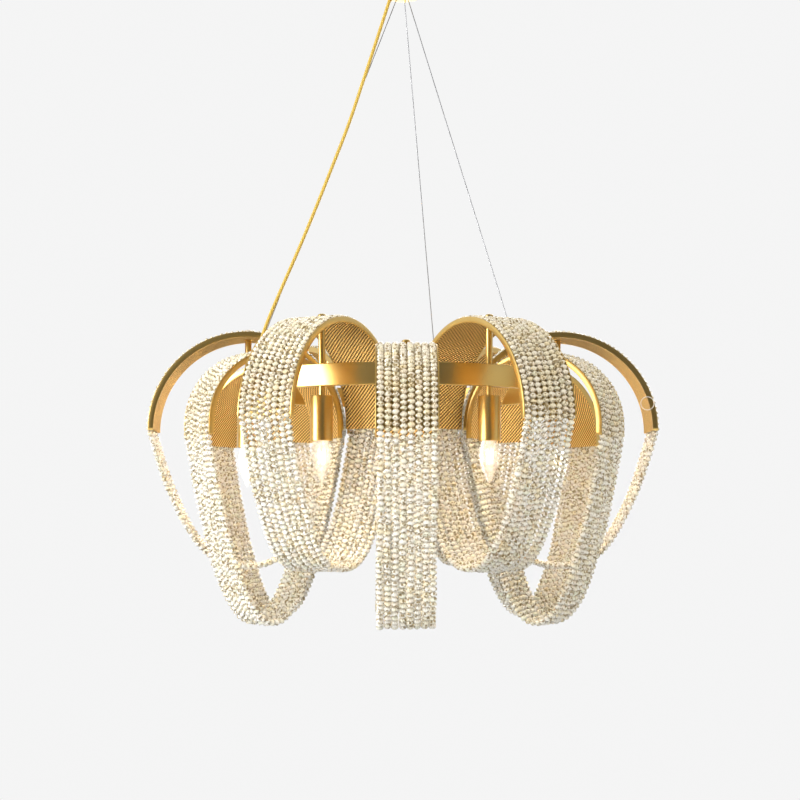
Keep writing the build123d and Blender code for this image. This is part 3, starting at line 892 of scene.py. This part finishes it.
# Name, place from the lamp's middle, size, watts, colour, whether gold and glass mirror it
SOFT_LIGHTS = (
    ("key_left", (-2.63, -1.25, 0.35), 1.62, 82, WHITE, True),
    ("fill_right", (2.5, -1.4, 0.1), 1.6, 3, WHITE, True),
    ("warm_right", (2.2, -1.7, 0.4), 1.6, 9, WARM, False),
    ("front_soft", (-0.5, -2.6, 1.1), 2.4, 32, WHITE, False),
    ("back_light", (0.6, 2.4, 0.6), 1.8, 34, WHITE, True),
    ("under_light", (0.0, -1.0, -2.4), 1.4, 4, WHITE, True),
)
CAMERA_SENSOR = 36.0
CAMERA_LENS = 78.75
CAMERA_AWAY = 2.817
CAMERA_HEIGHT = -0.944
CAMERA_AROUND = radians(-1.0)
CAMERA_TURN = radians(0.1)   # past the lamp's axis
CAMERA_TILT = 4.25           # upwards, in degrees


def make_surroundings(scene):
    """Pale studio: bright to the eye, and shaded to gold, which needs light and dark to mirror.

    Gloss = 0.46, brighter behind and to the left of the lamp and darker in front of it.
    """
    world = bpy.data.worlds.new("studio")
    scene.world = world
    world.use_nodes = True
    tree = world.node_tree
    tree.nodes.clear()
    studio = Finish.of_tree(tree)
    x, y, _ = studio.split(studio.coordinates("Generated"))
    front = (y * -1.15 - 0.15).larger(0.0)
    left = (x * -1.0).larger(0.0)
    behind = y.larger(0.0)
    gloss = 0.46 + behind * 0.35 + left * 0.27 - front * 0.36
    seen = studio.ray("Camera").larger(studio.ray("Transmission"))
    strength = (
        MATT_BRIGHTNESS
        + studio.ray("Glossy") * (gloss - MATT_BRIGHTNESS)
        + seen * (SEEN_BRIGHTNESS - MATT_BRIGHTNESS)
    )
    background = studio.node("ShaderNodeBackground", {}, {"Color": (1, 1, 1), "Strength": strength})
    output = tree.nodes.new("ShaderNodeOutputWorld")
    tree.links.new(background.socket, output.inputs[0])


def make_floor(scene):
    """Pale floor that throws less light up at matt surfaces than it shows to the eye."""
    finish = Finish("pale_floor")
    shown = finish.ray("Camera").larger(finish.ray("Transmission")).larger(finish.ray("Glossy"))
    finish.give(
        Base_Color=finish.mix(shown, (0.40, 0.40, 0.40), (0.85, 0.85, 0.85)), Roughness=0.9
    )
    turns = ((-1, -1), (1, -1), (1, 1), (-1, 1))
    corners = [(x * FLOOR_HALF, y * FLOOR_HALF, FLOOR_Z) for x, y in turns]
    mesh = bpy.data.meshes.new("floor")
    mesh.from_pydata(corners, [], [(0, 1, 2, 3)])
    mesh.materials.append(finish.material)
    floor = bpy.data.objects.new("floor", mesh)
    scene.collection.objects.link(floor)


def make_soft_lights(scene):
    """Square soft lights, each aimed at the lamp's middle."""
    for name, where, size, power, colour, in_gloss in SOFT_LIGHTS:
        lamp = bpy.data.lights.new(name, "AREA")
        lamp.energy = power
        lamp.color = colour
        lamp.size = size
        light = bpy.data.objects.new(name, lamp)
        light.location = LAMP_MIDDLE + where
        light.visible_glossy = in_gloss
        light.rotation_euler = (-Vector(where)).to_track_quat("-Z", "Y").to_euler()
        scene.collection.objects.link(light)


def make_camera(scene):
    """Camera in front of the lamp, a little below its middle and looking slightly up."""
    data = bpy.data.cameras.new("camera")
    data.sensor_width = CAMERA_SENSOR
    data.lens = CAMERA_LENS
    camera = bpy.data.objects.new("camera", data)
    camera.location = (
        CAMERA_AWAY * sin(CAMERA_AROUND), -CAMERA_AWAY * cos(CAMERA_AROUND), CAMERA_HEIGHT
    )
    camera.rotation_euler = (radians(90 + CAMERA_TILT), 0, CAMERA_AROUND + CAMERA_TURN)
    scene.collection.objects.link(camera)
    scene.camera = camera


def make_stage():
    """Surroundings, floor, soft lights and the camera."""
    scene = bpy.context.scene
    scene.view_settings.view_transform = "Standard"
    make_surroundings(scene)
    make_floor(scene)
    make_soft_lights(scene)
    make_camera(scene)


make_ring()
make_arches("high", "arches_high")
make_arches("low", "arches_low")
for kind, unit in UNITS.items():
    for number, angle in enumerate(unit.angles, 1):
        make_curtain(kind, number, angle)
make_rods("high")
make_rods("low")
make_finials()
make_thread_loop()
make_sleeves()
make_holders()
make_bulbs()
make_filaments()
make_suspension()
dress_nodes()
make_stage()
